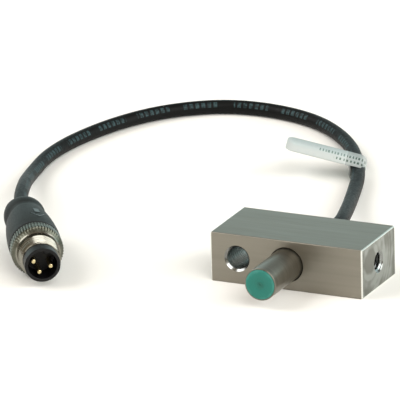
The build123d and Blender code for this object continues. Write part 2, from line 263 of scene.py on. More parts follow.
def makePiece(name, bm, place, materials, body, replaced=(), crease=35):
    bm.transform(place)
    bm.normal_update()
    for face in bm.faces:
        face.smooth = True
    for edge in bm.edges:
        edge.smooth = not (edge.is_manifold and edge.calc_face_angle() > math.radians(crease))
    mesh = bpy.data.meshes.new(name)
    bm.to_mesh(mesh)
    bm.free()
    piece = bpy.data.objects.new(name, mesh)
    scene.collection.objects.link(piece)
    for material in materials:
        mesh.materials.append(material)
    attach(piece, body)
    if replaced:
        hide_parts(*replaced)
    # keeps flat faces flat beside their soft edges
    normals = piece.modifiers.new("normals", "WEIGHTED_NORMAL")
    normals.keep_sharp = True
    return piece


# Cable: black polyurethane, extruded: dull, a little waxy, with worn grey print along its upper side

cableValues = {
    "radius": 1.4,
    "sides": 24,
    "colour": "#0b0c0c",
    "printColour": "#34474a",
    "printCell": 1.3,  # mm from one block of print to the next
    "printInked": 0.62,  # share of a block that has ink
    "printWord": 11.0,  # mm from one word to the next
    "printFilled": 0.72,  # share of a word that has blocks
    "printWidth": 0.13,  # share of the way round
    "printTurn": 0.15,  # share of the way round from the top
    "endDepth": 0.0243,  # metres behind the insert's rim, inside the grip
    "leadDepth": 0.0333,  # metres behind the insert's rim, where the cable comes into line with the plug
}

plugTail = plugFront - plugAxis * cableValues["endDepth"]
plugLead = plugFront - plugAxis * cableValues["leadDepth"]
cableRoute = [
    Vector((0, 0.0076, 0.00515)),
    Vector((0, 0.0175, 0.00515)),
    Vector((-0.0035, 0.029, 0.0037)),
    Vector((-0.0084, 0.0434, 0.0019)),
    Vector((-0.0133, 0.0584, 0.00175)),
    Vector((-0.0231, 0.0756, 0.0015)),
    Vector((-0.0366, 0.0869, 0.0015)),
    Vector((-0.054, 0.089, 0.0015)),
    Vector((-0.0665, 0.0802, 0.0015)),
    Vector((-0.0735, 0.066, 0.0015)),
    Vector((-0.0767, 0.0486, 0.0015)),
    Vector((-0.0736, 0.0316, 0.0019)),
    Vector((-0.0678, 0.0169, 0.0054)),
    plugLead,
    plugTail,
]


def readRoute(points):
    # the smooth line through the route, as points close together
    curve = bpy.data.curves.new("cableRoute", "CURVE")
    curve.dimensions = "3D"
    spline = curve.splines.new("NURBS")
    spline.points.add(len(points) - 1)
    for point, place in zip(spline.points, points):
        point.co = (*place, 1)
    spline.order_u = 3
    spline.use_endpoint_u = True
    spline.resolution_u = 12
    guide = bpy.data.objects.new("cableRoute", curve)
    line = bpy.data.meshes.new_from_object(guide)
    path = [vert.co.copy() for vert in line.vertices]
    bpy.data.objects.remove(guide)
    bpy.data.curves.remove(curve)
    bpy.data.meshes.remove(line)
    return path


def placeAcross(path, index):
    # X to the side, Y up and Z along the cable
    ahead = path[min(index + 1, len(path) - 1)] - path[max(index - 1, 0)]
    ahead.normalize()
    side = ahead.cross(Vector((0, 0, 1))).normalized()
    return placeOn(path[index], ahead, -side)


def makeCable(path, values, material):
    bm = bmesh.new()
    along = bm.verts.layers.float.new("along")
    around = bm.verts.layers.float.new("around")
    ring = bmesh.ops.create_circle(bm, segments=values["sides"], radius=values["radius"] * mm)["verts"]
    for vert in ring:
        vert[around] = math.atan2(vert.co.x, vert.co.y) / (2 * math.pi) + 0.5  # 0.5 on top, seam below
    place = placeAcross(path, 0)
    bmesh.ops.transform(bm, matrix=place, verts=ring)
    rim = bm.edges[:]
    length = 0
    for index in range(1, len(path)):
        length += (path[index] - path[index - 1]).length
        made = bmesh.ops.extrude_edge_only(bm, edges=rim)["geom"]
        ring = [item for item in made if isinstance(item, bmesh.types.BMVert)]
        rim = [item for item in made if isinstance(item, bmesh.types.BMEdge) and item.is_boundary]
        nextPlace = placeAcross(path, index)
        bmesh.ops.transform(bm, matrix=nextPlace @ place.inverted(), verts=ring)
        for vert in ring:
            vert[along] = length
        place = nextPlace
    bmesh.ops.holes_fill(bm, edges=[edge for edge in bm.edges if edge.is_boundary])
    bmesh.ops.recalc_face_normals(bm, faces=bm.faces)
    print("cable length in mm", round(length / mm, 1))
    piece = makePiece("cable", bm, Matrix.Identity(4), [material], "sensor",
                      ["cable_jacket"], 60)
    return piece, length


def extrudedPolyurethane(values):
    # extruded jacket: even black with a soft sheen, faint unevenness and rubbed ink
    material = newMaterial("extrudedPolyurethane", values["colour"], 0.5, {"Specular IOR Level": 0.13})
    grain = addGrain(material, 0.5, 0.02, roughness=(0.42, 0.6))
    along = addNode(material, "Attribute", attribute_name="along").outputs["Fac"]
    around = addNode(material, "Attribute", attribute_name="around").outputs["Fac"]
    inCell = addMath(material, "FRACT", addMath(material, "DIVIDE", along, values["printCell"] * mm))
    inWord = addMath(material, "FRACT", addMath(material, "DIVIDE", along, values["printWord"] * mm))
    block = addMath(material, "LESS_THAN", inCell, values["printInked"])
    written = addMath(material, "LESS_THAN", inWord, values["printFilled"])
    offLine = addMath(material, "ABSOLUTE", addMath(material, "SUBTRACT", around, 0.5 + values["printTurn"]))
    onLine = addMath(material, "LESS_THAN", offLine, values["printWidth"] / 2)
    worn = addNode(material, "MapRange", {0: grain, 1: 0.4, 2: 0.6, 3: 0.25, 4: 1.0}).outputs[0]
    ink = addMath(material, "MULTIPLY", addMath(material, "MULTIPLY", block, written), onLine)
    ink = addMath(material, "MULTIPLY", ink, worn)
    ramp = addNode(material, "ValToRGB", {0: ink}, [(0, values["colour"]), (1, values["printColour"])])
    toShader(material, Base_Color=ramp.outputs[0])
    return material


cablePath = readRoute(cableRoute)
cable, cableLength = makeCable(cablePath, cableValues, extrudedPolyurethane(cableValues))
print("cable made")

# Studio: pale floor, three large soft lamps and a dim room that is brighter low down behind

studioValues = {
    "floor": "#f5f3ef",
    "floorSize": 24.0,
    "skyLow": "#d6f0f0",
    "skyHigh": "#747571",
    "skyFront": "#847a6a",
    "skyStrength": 1.6,
    "aim": (-0.02, 0.02, 0),
    "lamps": [  # name, place, size, watts, colour; all look at the object
        ("right", (1.15, 0.15, 0.62), 1.1, 11, "#fdfffe"),
        ("left", (-0.95, -0.42, 0.9), 1.2, 14, "#ffffff"),
        ("front", (0.75, -0.75, 0.95), 1.0, 12, "#ffffff"),
    ],
}


def makeStudio(values):
    floorMaterial = newMaterial("paintedFloor", values["floor"], 0.9)
    addGrain(floorMaterial, 30, 0.01)
    bm = bmesh.new()
    bmesh.ops.create_grid(bm, x_segments=4, y_segments=4, size=values["floorSize"] / 2)
    mesh = bpy.data.meshes.new("floor")
    bm.to_mesh(mesh)
    bm.free()
    mesh.materials.append(floorMaterial)
    floor = bpy.data.objects.new("floor", mesh)
    scene.collection.objects.link(floor)
    for name, place, size, watts, colour in values["lamps"]:
        light = bpy.data.lights.new(name, "AREA")
        light.shape = "DISK"
        light.size = size
        light.energy = watts
        light.color = toLinear(colour)[:3]
        lamp = bpy.data.objects.new(name, light)
        lamp.location = place
        lamp.rotation_euler = (Vector(values["aim"]) - lamp.location).to_track_quat("-Z", "Y").to_euler()
        scene.collection.objects.link(lamp)
    sky = bpy.data.worlds.new("sky")
    sky.use_nodes = True
    scene.world = sky
    sides = addNode(sky, "SeparateXYZ", {0: addNode(sky, "TexCoord").outputs["Generated"]})
    behind = addNode(sky, "ValToRGB", {0: sides.outputs["Z"]}, [
        (0, values["skyLow"]), (0.3, values["skyLow"]), (0.48, values["skyHigh"]), (1, values["skyHigh"])])
    share = addNode(sky, "MapRange", {0: sides.outputs["Y"], 1: -0.2, 2: 0.5})
    room = addNode(sky, "Mix", {0: share.outputs[0], 6: toLinear(values["skyFront"]), 7: behind.outputs[0]},
                   data_type="RGBA")
    background = sky.node_tree.nodes["Background"]
    sky.node_tree.links.new(room.outputs[2], background.inputs["Color"])
    background.inputs["Strength"].default_value = values["skyStrength"]
    scene.view_settings.view_transform = "Standard"


makeStudio(studioValues)
print("studio made")

# Clamp block: aluminium flat bar, clear anodised; the long faces carry faint drawing lines, the cut ends
# show the arcs of a milling cutter, and the holes are brighter; the broken edges at the ends are bare metal
# whose near-white colour is also a painted highlight

blockValues = {
    "edge": 0.25,
    "boreRadius": 3.3,
    "boreChamfer": 0.25,
    "holeX": -10.4,
    "holeRadius": 2.25,
    "holeChamfer": 0.4,
    "holeZone": 3.0,  # faces nearer the hole's axis than this belong to the hole
    "boreZone": 3.7,
    "tapZone": 3.0,
    "rimZone": 0.3,  # a face this near an end and on no hole is part of the end's broken edge
    "tapRadius": 2.0,
    "tapChamfer": 0.2,
    "tapStart": 0.15,
    "tapCore": 1.66,
    "tapPitch": 0.7,
    "tapThread": 2.3,  # depth of thread left in the mouth; behind it the clamp screw runs free
    "tapDepth": 14.0,
    "millCentre": (-0.016, 0.004, -0.0065),  # metres, taken off a point on either end
    "colours": ("#88847a", "#908c82"),
    "endColours": ("#71726b", "#9c9f9a"),
    # near white: bare deburred metal and a painted highlight on the ends' broken edges
    "bareEdgeAndHighlightColour": "#e2e3de",
    "boreColour": "#9a9c9a",
}


def drawnAluminium(values):
    # drawn bar, satin anodised: a soft wide shine with faint lines along the bar
    material = newMaterial("drawnAluminium", values["colours"][0], 0.42, {"Metallic": 1})
    addGrain(material, 0.22, 0.0025, values["colours"], (0.36, 0.46), (30, 1, 1))
    return material


def milledAluminium(values):
    # faced on a mill: arcs of brighter and duller metal from the cutter's sweep
    material = newMaterial("milledAluminium", values["endColours"][0], 0.36, {"Metallic": 1})
    place = addNode(material, "TexCoord").outputs["Object"]
    centred = addNode(material, "Mapping", {"Vector": place, "Location": values["millCentre"],
                                            "Scale": (0, 1, 1)}).outputs[0]
    reach = addNode(material, "VectorMath", {0: centred}, operation="LENGTH").outputs["Value"]
    lines = addNode(material, "TexNoise", {"W": reach, "Scale": 1 / (0.9 * mm), "Detail": 5},
                    noise_dimensions="1D").outputs[0]
    cloud = addNode(material, "TexNoise", {"Vector": place, "Scale": 1 / (5 * mm), "Detail": 2}).outputs[0]
    mixed = addMath(material, "MULTIPLY", lines, cloud)
    dull, bright = values["endColours"]
    ramp = addNode(material, "ValToRGB", {0: mixed}, [(0.22, dull), (0.34, bright)])
    gloss = addNode(material, "MapRange", {0: lines, 1: 0.3, 2: 0.7, 3: 0.3, 4: 0.46})
    bump = addNode(material, "Bump", {"Height": lines, "Distance": 0.004 * mm})
    toShader(material, Base_Color=ramp.outputs[0], Roughness=gloss.outputs[0], Normal=bump.outputs[0])
    return material


def bareAluminium(name, colour, roughness, relief, stretch=(1, 1, 1)):
    # deburred or drilled through the anodising: bright, cleaner metal with fine tool lines; on the broken
    # edges the bright colour is also a painted highlight
    material = newMaterial(name, colour, roughness, {"Metallic": 1})
    addGrain(material, 0.12, relief, roughness=(roughness - 0.06, roughness + 0.08), stretch=stretch)
    return material


def cutHole(origin, axis, right, radius, chamfer, length, through):
    # a cutter with a countersunk mouth, and a second one where it comes out
    over = 0.5  # mm that the cutter stands clear of the metal
    profile = [(-over, 0), (-over, radius + chamfer + over), (chamfer, radius)]
    if through:
        profile += [(length - chamfer, radius), (length + over, radius + chamfer + over), (length + over, 0)]
    else:
        profile += [(length, radius), (length, 0)]
    bm = spinProfile(profile, 72)
    bm.transform(placeOn(origin, axis, right))
    mesh = bpy.data.meshes.new("cutter")
    bm.to_mesh(mesh)
    bm.free()
    return bpy.data.objects.new("cutter", mesh)


def cutAway(bm, cutters):
    mesh = bpy.data.meshes.new("blank")
    bm.to_mesh(mesh)
    bm.free()
    blank = bpy.data.objects.new("blank", mesh)
    for item in (blank, *cutters):
        scene.collection.objects.link(item)
    for cutter in cutters:
        modifier = blank.modifiers.new("cut", "BOOLEAN")
        modifier.operation = "DIFFERENCE"
        modifier.solver = "EXACT"
        modifier.object = cutter
    bpy.context.view_layer.update()
    result = bpy.data.meshes.new_from_object(blank.evaluated_get(bpy.context.evaluated_depsgraph_get()))
    bm = bmesh.new()
    bm.from_mesh(result)
    for item in (blank, *cutters):
        bpy.data.objects.remove(item)
    return bm


def makeBlock(values):
    size = blockHigh - blockLow
    centre = (blockHigh + blockLow) / 2
    bm = bmesh.new()
    bmesh.ops.create_cube(bm, size=1)
    bmesh.ops.scale(bm, vec=size, verts=bm.verts)
    bmesh.ops.translate(bm, vec=centre, verts=bm.verts)
    bmesh.ops.bevel(bm, geom=bm.edges[:], offset=values["edge"] * mm, affect="EDGES", segments=3, profile=0.5,
                    material=-1)
    right, front = Vector((1, 0, 0)), Vector((0, -1, 0))
    holeX = values["holeX"] * mm
    tapMouth = Vector((blockHigh.x, 0, axisHeight))
    depth = size.y / mm
    bm = cutAway(bm, [
        cutHole(Vector((0, blockLow.y, axisHeight)), front, right, values["boreRadius"],
                values["boreChamfer"], depth, True),
        cutHole(Vector((holeX, blockLow.y, axisHeight)), front, right, values["holeRadius"],
                values["holeChamfer"], depth, True),
        cutHole(tapMouth, right, -front, values["tapRadius"], values["tapChamfer"], values["tapDepth"],
                False),
    ])
    bmesh.ops.remove_doubles(bm, verts=bm.verts, dist=1e-7)
    bm.normal_update()
    flat, onFace, skin = 0.99, 1e-5, 0.0002  # a normal's share along an axis, and two distances in metres
    for face in bm.faces:
        middle = face.calc_center_median()
        normal = face.normal
        up = middle.z - axisHeight
        toEnd = size.x / 2 - abs(middle.x)
        toTop = min(abs(middle.z - blockLow.z), abs(middle.z - blockHigh.z))
        onEnd = abs(normal.x) > flat and abs(toEnd) < onFace
        onFront = abs(normal.y) > flat and abs(abs(middle.y) - size.y / 2) < onFace
        onTop = abs(normal.z) > flat and toTop < onFace
        inside = all(low + skin < value < high - skin
                     for low, value, high in zip(blockLow, middle, blockHigh))
        atSideHole = (math.hypot(middle.x - holeX, up) < values["holeZone"] * mm
                      or math.hypot(middle.x, up) < values["boreZone"] * mm)
        atTap = abs(normal.x) < flat and math.hypot(middle.y, up) < values["tapZone"] * mm
        longEdge = abs(normal.x) < 0.01 and not atSideHole
        if onFront or onTop or longEdge and not inside:
            face.material_index = 0
        elif onEnd:
            face.material_index = 1
        elif toEnd < values["rimZone"] * mm and not atTap:
            face.material_index = 2
        else:
            face.material_index = 3
    start, end = values["tapStart"], values["tapThread"]
    thread = spinThread(values["tapRadius"], values["tapCore"], values["tapPitch"], start, end, 48)
    outside = [growRim(thread, rimAt(thread, depth), toRadius(values["tapRadius"] + 0.05))
               for depth in (start, end)]
    bmesh.ops.bridge_loops(thread, edges=outside[0] + outside[1])
    bmesh.ops.recalc_face_normals(thread, faces=thread.faces)
    for face in thread.faces:
        face.material_index = 3
    thread.transform(placeOn(tapMouth, right, -front))
    joinInto(bm, thread)
    finishes = [drawnAluminium(values), milledAluminium(values),
                # the ends' broken edges: bare metal, with a near-white colour that is partly a painted
                # highlight
                bareAluminium("deburredEdgeAndHighlight", values["bareEdgeAndHighlightColour"], 0.3, 0.002),
                bareAluminium("reamedAluminium", values["boreColour"], 0.22, 0.006, (20, 1.2, 20))]
    return makePiece("clampBlock", bm, Matrix.Identity(4), finishes, "block", ["mounting_block"], 30)


makeBlock(blockValues)
print("block made")

# Clamp screw: hexagon socket set screw, black oxide steel, with its brass pad behind

screwValues = {
    "root": 1.55, "crest": 1.95, "pitch": 0.7, "fade": 0.8,
    "socket": 2.0, "socketDepth": 2.5, "mouth": 0.3, "mouthDepth": 0.15,
    "cup": 1.0, "cupFloor": 0.6, "cupDepth": 0.35, "colour": "#2b2b2d",
}


def blackOxideSteel(values):
    # chemically blackened: dark blue-black with an oily half-gloss
    material = newMaterial("blackOxideSteel", values["colour"], 0.4, {"Metallic": 0.8})
    addGrain(material, 0.1, 0.002, ("#242426", "#343437"), (0.34, 0.5))
    return material


def hexagonRim(flats, drop):
    # a point's place on a hexagon at its own angle
    def move(co):
        angle = math.atan2(co.y, co.x)
        side = (angle + math.pi / 6) % (math.pi / 3) - math.pi / 6
        radius = flats / 2 / math.cos(side) * mm
        return Vector((math.cos(angle) * radius, math.sin(angle) * radius, co.z - drop * mm))
    return move


def makeScrew(values):
    low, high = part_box("clamp_screw")
    length = (high.x - low.x) / mm
    bm = spinThread(values["root"], values["crest"], values["pitch"], 0, length, 60, values["fade"])
    flats, mouthDepth = values["socket"], values["mouthDepth"]
    rim = growRim(bm, rimAt(bm, 0), hexagonRim(flats + values["mouth"], 0))
    rim = growRim(bm, rim, hexagonRim(flats, mouthDepth))
    growRim(bm, rim, hexagonRim(flats, values["socketDepth"] - mouthDepth))
    rim = growRim(bm, rimAt(bm, length), toRadius(values["cup"]))
    growRim(bm, rim, toRadius(values["cupFloor"], -values["cupDepth"]))
    bmesh.ops.holes_fill(bm, edges=[edge for edge in bm.edges if edge.is_boundary])
    bmesh.ops.recalc_face_normals(bm, faces=bm.faces)
    place = placeOn(Vector((high.x, 0, axisHeight)), Vector((1, 0, 0)), Vector((0, 1, 0)))
    return makePiece("setScrew", bm, place, [blackOxideSteel(values)], "screw",
                     ["clamp_screw"])


makeScrew(screwValues)
print("screw made")

# Sensor barrel: centreless-ground stainless tube, with the green moulded cap that it senses through

barrelValues = {
    "radius": 3.25,
    "inner": 3.0,
    "front": 0.12,
    "rear": 30.0,
    "colours": ("#7d7970", "#88847a"),
    "capRadius": 2.98,
    "capFace": [  # depth and radius: gate in the middle, then a fine ring
        (0.07, 0), (0.07, 0.28), (0, 0.36), (0, 0.9), (0.03, 0.96), (0.03, 1.06), (0, 1.12)],
    "capSkirt": 2.72,
    "capWall": 0.8,
    "capDepth": 4.6,
    "capColour": "#1b6c62",
    # from the gate out to the rim; the lighter last stop at the rim is a painted highlight
    "capGateAndRimHighlight": [(0, "#145a4d"), (0.25, "#1a6c60"), (0.8, "#1b7064"), (0.97, "#378176")],
}


def groundStainless(values):
    # centreless ground: satin grey-brown steel, fine rings round it
    material = newMaterial("groundStainless", values["colours"][0], 0.34, {"Metallic": 1})
    addGrain(material, 0.12, 0.0012, values["colours"], (0.33, 0.42), (8, 0.6, 8))
    return material


def mouldedPolyester(values):
    # glass-filled polyester cap: dull green-blue, fine spark-eroded texture, darker round the gate and
    # lighter at the rim, where the lighter ring is a painted highlight
    material = newMaterial("mouldedPolyester", values["capColour"], 0.55, {"Specular IOR Level": 0.4})
    addGrain(material, 0.18, 0.006, roughness=(0.48, 0.64))
    place = addNode(material, "TexCoord").outputs["Object"]
    centred = addNode(material, "Mapping", {"Vector": place, "Location": (0, 0, -axisHeight),
                                            "Scale": (1, 0, 1)}).outputs[0]
    reach = addNode(material, "VectorMath", {0: centred}, operation="LENGTH").outputs["Value"]
    cloud = addNode(material, "TexNoise", {"Vector": place, "Scale": 1 / (1.6 * mm), "Detail": 3}).outputs[0]
    spread = addNode(material, "MapRange", {0: cloud, 1: 0.3, 2: 0.7, 3: -0.0004, 4: 0.0004}).outputs[0]
    reach = addMath(material, "ADD", reach, spread)
    share = addNode(material, "MapRange", {0: reach, 1: 0.0002, 2: 0.003}).outputs[0]
    ramp = addNode(material, "ValToRGB", {0: share}, values["capGateAndRimHighlight"])
    toShader(material, Base_Color=ramp.outputs[0])
    return material


def makeBarrel(values):
    radius, inner, front, rear = (values[key] for key in ("radius", "inner", "front", "rear"))
    tube = spinProfile([(front, inner), (front, radius), (rear, radius), (rear, inner)], 96, True)
    softenEdges(tube, 0.12, 3)
    makePiece("barrel", tube, onBarrel, [groundStainless(values)], "sensor",
              ["sensor_barrel"])
    cap, skirt, wall, depth = (values[key] for key in ("capRadius", "capSkirt", "capWall", "capDepth"))
    outline = values["capFace"] + [(0, cap), (depth, cap), (depth, skirt), (wall, skirt), (wall, 0)]
    disc = spinProfile(outline, 96)
    softenEdges(disc, 0.1, 3, 60)
    makePiece("sensingCap", disc, onBarrel, [mouldedPolyester(values)], "sensor",
              ["sensing_face"])


makeBarrel(barrelValues)
print("barrel made")

# Marker: clear polyester film wrapped round the cable, its ends stuck together as a flag

labelValues = {
    "share": 0.259,  # of the cable's length
    "width": 8.2,
    "radius": 1.52,
    "flagStart": 2.7,
    "flagEnd": 15.0,
    "lift": 14.6,
    "skew": -6.5,
    "gap": 0.06,
    "film": 0.1,
    "corner": 1.5,
    "seam": [(0.12, 0.5), (0.45, 0.85)],  # mm out from the wrap, share of its radius up
    "rows": [(4.3, 5.9, 8.4, 0.62), (1.5, 3.0, 5.2, 0.74)],  # marks: lower edge, upper edge, end, pitch
    "colour": "#c3c9c7",
    "inkColour": "#64786f",
}


def labelFilm(name, values, alpha):
    # clear matt film: pale grey-green, satin, with two short lines of dark marks and no letters
    material = newMaterial(name, values["colour"], 0.4, {"Alpha": alpha, "Specular IOR Level": 0.4})
    addGrain(material, 0.6, 0.004, roughness=(0.34, 0.5))
    out = addNode(material, "Attribute", attribute_name="out").outputs["Fac"]
    across = addNode(material, "Attribute", attribute_name="across").outputs["Fac"]
    rows = []
    for low, high, end, pitch in values["rows"]:
        above = addMath(material, "GREATER_THAN", across, low * mm)
        below = addMath(material, "LESS_THAN", across, high * mm)
        near = addMath(material, "LESS_THAN", out, end * mm)
        cell = addMath(material, "DIVIDE", out, pitch * mm)
        beat = addNode(material, "TexNoise", {"W": cell, "Scale": 1.3, "Detail": 1},
                       noise_dimensions="1D").outputs[0]
        stroke = addMath(material, "LESS_THAN", addMath(material, "FRACT", cell), beat)
        row = addMath(material, "MULTIPLY", addMath(material, "MULTIPLY", above, below), near)
        rows.append(addMath(material, "MULTIPLY", row, stroke))
    ink = addMath(material, "MAXIMUM", *rows)
    ramp = addNode(material, "ValToRGB", {0: ink}, [(0, values["colour"]), (1, values["inkColour"])])
    toShader(material, Base_Color=ramp.outputs[0])
    return material


def makeLabel(values, path, length):
    reach, index = 0, 0
    while reach < values["share"] * length:
        index += 1
        reach += (path[index] - path[index - 1]).length
    ahead = (path[index + 1] - path[index - 1]).normalized()
    side = Vector((-ahead.y, ahead.x, 0)).normalized()
    start, end, gap, radius = (values[key] for key in ("flagStart", "flagEnd", "gap", "radius"))
    outline = [(end, radius), (start, radius), (0, radius)]
    arc = [math.pi / 2 + 1.5 * math.pi * step / 28 for step in range(1, 29)]
    outline += [(radius * math.cos(angle), radius * math.sin(angle)) for angle in arc]
    outline += [(radius + proud, radius * share) for proud, share in values["seam"]]
    outline += [(start, radius - 2 * gap), (end, radius - 2 * gap)]
    bm = bmesh.new()
    verts = [bm.verts.new((x * mm, y * mm, 0)) for x, y in outline]
    edges = [bm.edges.new(pair) for pair in zip(verts, verts[1:])]
    made = bmesh.ops.extrude_edge_only(bm, edges=edges)["geom"]
    bmesh.ops.translate(bm, vec=(0, 0, values["width"] * mm),
                        verts=[item for item in made if isinstance(item, bmesh.types.BMVert)])
    corners = [vert for vert in bm.verts if abs(vert.co.x - end * mm) < 1e-7]
    bmesh.ops.bevel(bm, geom=corners, offset=values["corner"] * mm, affect="VERTICES", segments=6,
                    profile=0.5, material=-1)
    out = bm.verts.layers.float.new("out")
    across = bm.verts.layers.float.new("across")
    for vert in bm.verts:
        vert[out] = vert.co.x
        vert[across] = vert.co.z
    bm.normal_update()
    for face in bm.faces:
        face.material_index = 0 if face.calc_center_median().x > start * mm else 1
    lift = Matrix.Rotation(math.radians(values["lift"]), 4, "Z")
    skew = Matrix.Rotation(math.radians(values["skew"]), 3, "Z")  # it was stuck on a little askew
    ahead, side = skew @ ahead, skew @ side
    place = placeOn(path[index] - ahead * values["width"] * mm / 2, ahead, side) @ lift
    films = [labelFilm("flagFilm", values, 0.92), labelFilm("wrapFilm", values, 0.5)]
    piece = makePiece("markerFlag", bm, place, films, "sensor", ["cable_label"], 50)
    shell = piece.modifiers.new("film", "SOLIDIFY")
    shell.thickness = values["film"] * mm
    shell.offset = 0
    return piece


label = makeLabel(labelValues, cablePath, cableLength)
print("label made")

# Plug: insert with gilded pins, threaded ring with a straight knurl, and a moulded grip

insertValues = {
    "lip": 3.5, "lipEnd": 2.55, "neck": 3.14, "end": 14.0, "recess": 2.85, "floor": 4.4,
    "keyWidth": 0.8, "keyHeight": 0.45, "keyStart": 0.3, "roll": -19.0, "colour": "#070708",
}
pinValues = {
    "radius": 0.5, "circle": 1.79, "tip": 0.6, "end": 15.5, "cup": 0.42, "cupDepth": 1.2,
    "tipFlat": 0.2, "tipShoulder": (0.09, 0.41), "tipLength": 0.34, "cupPoint": 0.2,
    "angles": {"contact_pin_1": 0, "contact_pin_3": 180, "contact_pin_4": 270},
    "colours": ("#c4b488", "#d0c196"),
}
nutValues = {
    "front": 2.65, "sleeveEnd": 6.55, "bore": 3.2, "root": 3.55, "crest": 4.0, "pitch": 1.0,
    "shoulder": 6.4, "cone": [(6.4, 4.25), (6.62, 4.42), (7.13, 4.86)],
    "knurlStart": 7.35, "rear": 9.9, "crown": 5.15, "valley": 4.92, "teeth": 54,
    "dullAndShadedFrom": 4.5,  # radius from which the ring has the knurl's rougher finish and darker colour, the darker colour being painted shade
    # the knurl's darker colours are painted shade on the knurl and its cone
    "colours": ("#7c7a70", "#8b8980"), "knurlShadeColours": ("#58594f", "#696a5f"),
}
gripValues = {
    "front": 10.0, "collar": 5.15, "collarEnd": 12.5, "taper": (17.5, 4.8),
    "waist": 23.3, "waistRadius": 3.97, "waistHalf": 0.9, "waistRises": (0.15, 0.01),
    "bulb": (26.6, 3.95), "rear": (28.3, 3.2), "bootRoot": [(28.62, 2.3), (29.1, 2.0)],
    "bootSide": (29.7, 1.78), "boot": (30.5, 1.62),
    "bore": 1.45, "pocket": 3.16, "pocketEnd": 14.02, "cavity": 2.62, "cavityEnd": 24.3,
    "scoop": 0.4, "scoopDepth": 23.1, "scoopLength": 1.4, "scoopClear": 3.1,  # radii under the last stay put
    "sideFrom": 0.4,  # cosine from the thumb's side where the scoop and the lean begin
    "lean": 1.0, "leanFrom": 25, "leanTo": 29, "leanClear": 1.7,
    "mark": [[(-1.5, 15.2), (1.5, 15.2), (0, 13.0)], [(-0.5, 15.6), (0.5, 15.6), (0.5, 18.0), (-0.5, 18.0)]],
    "markHeight": 0.1, "markTurn": 76, "colour": "#131817", "colours": ("#0f1413", "#171c1b"),
    # the mark's near-black colour is painted shade
    "markShadeColour": "#070909",
}


def mouldedPolyamide(values):
    # black insert, moulded smooth: deep black with a soft gloss on its rim
    material = newMaterial("mouldedPolyamide", values["colour"], 0.4, {"Specular IOR Level": 0.25})
    addGrain(material, 0.3, 0.004, ("#060607", "#0a0a0c"), (0.34, 0.48))
    return material


def giltBrass(values):
    # thin gold over nickel on turned brass: warm, bright, with faint turning
    material = newMaterial("giltBrass", values["colours"][0], 0.24, {"Metallic": 1})
    addGrain(material, 0.1, 0.001, values["colours"], (0.2, 0.32))
    return material


def nickelBrass(name, colours, roughness):
    # bright nickel on turned brass: warm grey and polished; in the knurl it is rougher and darker, the darker
    # colour being painted shade
    material = newMaterial(name, colours[0], roughness, {"Metallic": 1})
    addGrain(material, 0.3, 0.0008, colours, (roughness - 0.04, roughness + 0.08))
    return material


def overmouldedPolyurethane(values):
    # soft-touch grip: dark grey-green, fine matt texture that spreads the light
    material = newMaterial("overmouldedPolyurethane", values["colour"], 0.55, {"Specular IOR Level": 0.28})
    addGrain(material, 0.22, 0.012, values["colours"], (0.5, 0.66))
    return material


def polishedShadedMark(values):
    # moulded against polished steel: smoother than the grip, so only its edges catch the light; its blacker
    # colour is painted shade standing for the shadow lines round the raised mark
    material = newMaterial("polishedShadedMark", values["markShadeColour"], 0.3, {"Specular IOR Level": 0.2})
    addGrain(material, 0.3, 0.002)
    return material


def onCircle(radius, angle, depth):
    turned = math.radians(angle + insertValues["roll"])
    return Vector((radius * math.cos(turned), radius * math.sin(turned), -depth)) * mm


def makeInsert(values):
    lip, neck, recess, floor = (values[key] for key in ("lip", "neck", "recess", "floor"))
    end, lipEnd = values["end"], values["lipEnd"]
    bm = spinProfile([(end, 0), (end, neck), (lipEnd, neck), (lipEnd, lip), (0, lip), (0, recess),
                      (floor, recess), (floor, 0)], 96)
    softenEdges(bm, 0.12, 3)
    key = bmesh.new()
    bmesh.ops.create_cube(key, size=1)
    size = Vector((values["keyWidth"], 2 * values["keyHeight"], floor - values["keyStart"])) * mm
    bmesh.ops.scale(key, vec=size, verts=key.verts)
    softenEdges(key, 0.1, 2)
    turn = Matrix.Rotation(math.radians(values["roll"]), 4, "Z")
    key.transform(Matrix.Translation(onCircle(recess, 90, (floor + values["keyStart"]) / 2)) @ turn)
    joinInto(bm, key)
    return makePiece("pinInsert", bm, onPlug, [mouldedPolyamide(values)], "sensor",
                     ["contact_carrier"])


def makePins(values):
    material = giltBrass(values)
    radius, tip, end, cup = (values[key] for key in ("radius", "tip", "end", "cup"))
    flat, floor = values["tipFlat"], end - values["cupDepth"]
    shoulder = (tip + values["tipShoulder"][0], values["tipShoulder"][1])
    tipRear = (tip + values["tipLength"], radius)
    profile = [(tip, 0), (tip, flat)] + arcThrough((tip, flat), shoulder, tipRear, 6)
    profile += [(end - 0.05, radius), (end, radius - 0.03), (end, cup), (floor, cup)]
    profile += [(floor - values["cupPoint"], 0)]
    made = []
    for node, angle in values["angles"].items():
        pin = spinProfile(profile, 32)
        pin.transform(Matrix.Translation(onCircle(values["circle"], angle, 0)))
        made.append(makePiece("pin" + node[-1], pin, onPlug, [material], "sensor", [node]))
    return made


